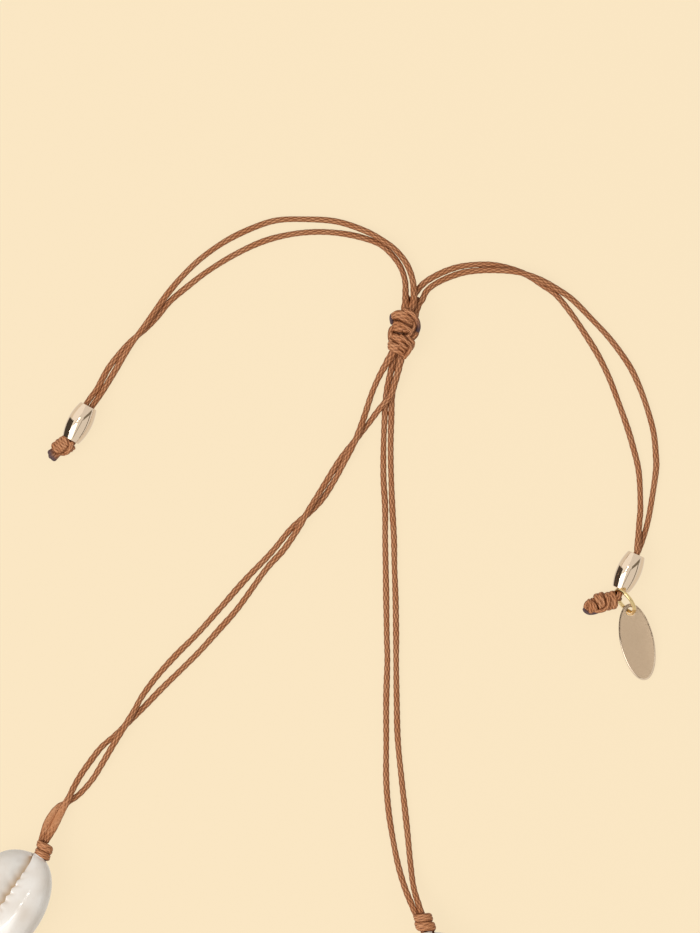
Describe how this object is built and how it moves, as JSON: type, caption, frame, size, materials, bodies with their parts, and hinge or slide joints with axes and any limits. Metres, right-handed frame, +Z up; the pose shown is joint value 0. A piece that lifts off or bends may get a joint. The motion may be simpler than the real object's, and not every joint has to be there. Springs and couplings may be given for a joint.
{
  "type": "shell necklace",
  "caption": "Adjustable waxed-cord necklace of threaded cowrie shells, with a sliding knot, two beaded tails and a plain oval tag, lying flat.",
  "frame": {"origin": "on the surface that the necklace lies on, under the middle of its shells, knots, beads and tag", "axes": "+X to the right and +Y from the shells towards the sliding knot as seen from above, +Z up from the surface"},
  "size_m": [0.1336, 0.2005, 0.0095],
  "materials": {
    "shell": "natural cowrie shell, naturally glossy, off-white with a tan slit",
    "cord": "waxed braided cord, caramel brown",
    "polished_gold": "brass plated pale gold, mirror polished",
    "satin_gold": "brass plated pale gold, satin face with a polished edge"
  },
  "bodies": {
    "root": {"shell_1": "shell", "shell_2": "shell", "shell_3": "shell", "shell_4": "shell", "shell_5": "shell", "shell_6": "shell", "shell_7": "shell", "shell_8": "shell", "shell_cord": "cord", "shell_knot_1": "cord", "shell_knot_2": "cord", "shell_knot_3": "cord", "shell_knot_4": "cord", "shell_knot_5": "cord", "shell_knot_6": "cord", "shell_knot_7": "cord", "shell_knot_8": "cord", "shell_knot_9": "cord", "left_strand_a": "cord", "left_strand_b": "cord", "right_strand_a": "cord", "right_strand_b": "cord", "slide_knot": "cord", "left_tail_a": "cord", "left_tail_b": "cord", "right_tail_a": "cord", "right_tail_b": "cord", "left_bead": "polished_gold", "right_bead": "polished_gold", "left_end_knot": "cord", "right_end_knot": "cord", "jump_ring": "polished_gold", "tag": "satin_gold"}
  },
  "joints": []
}
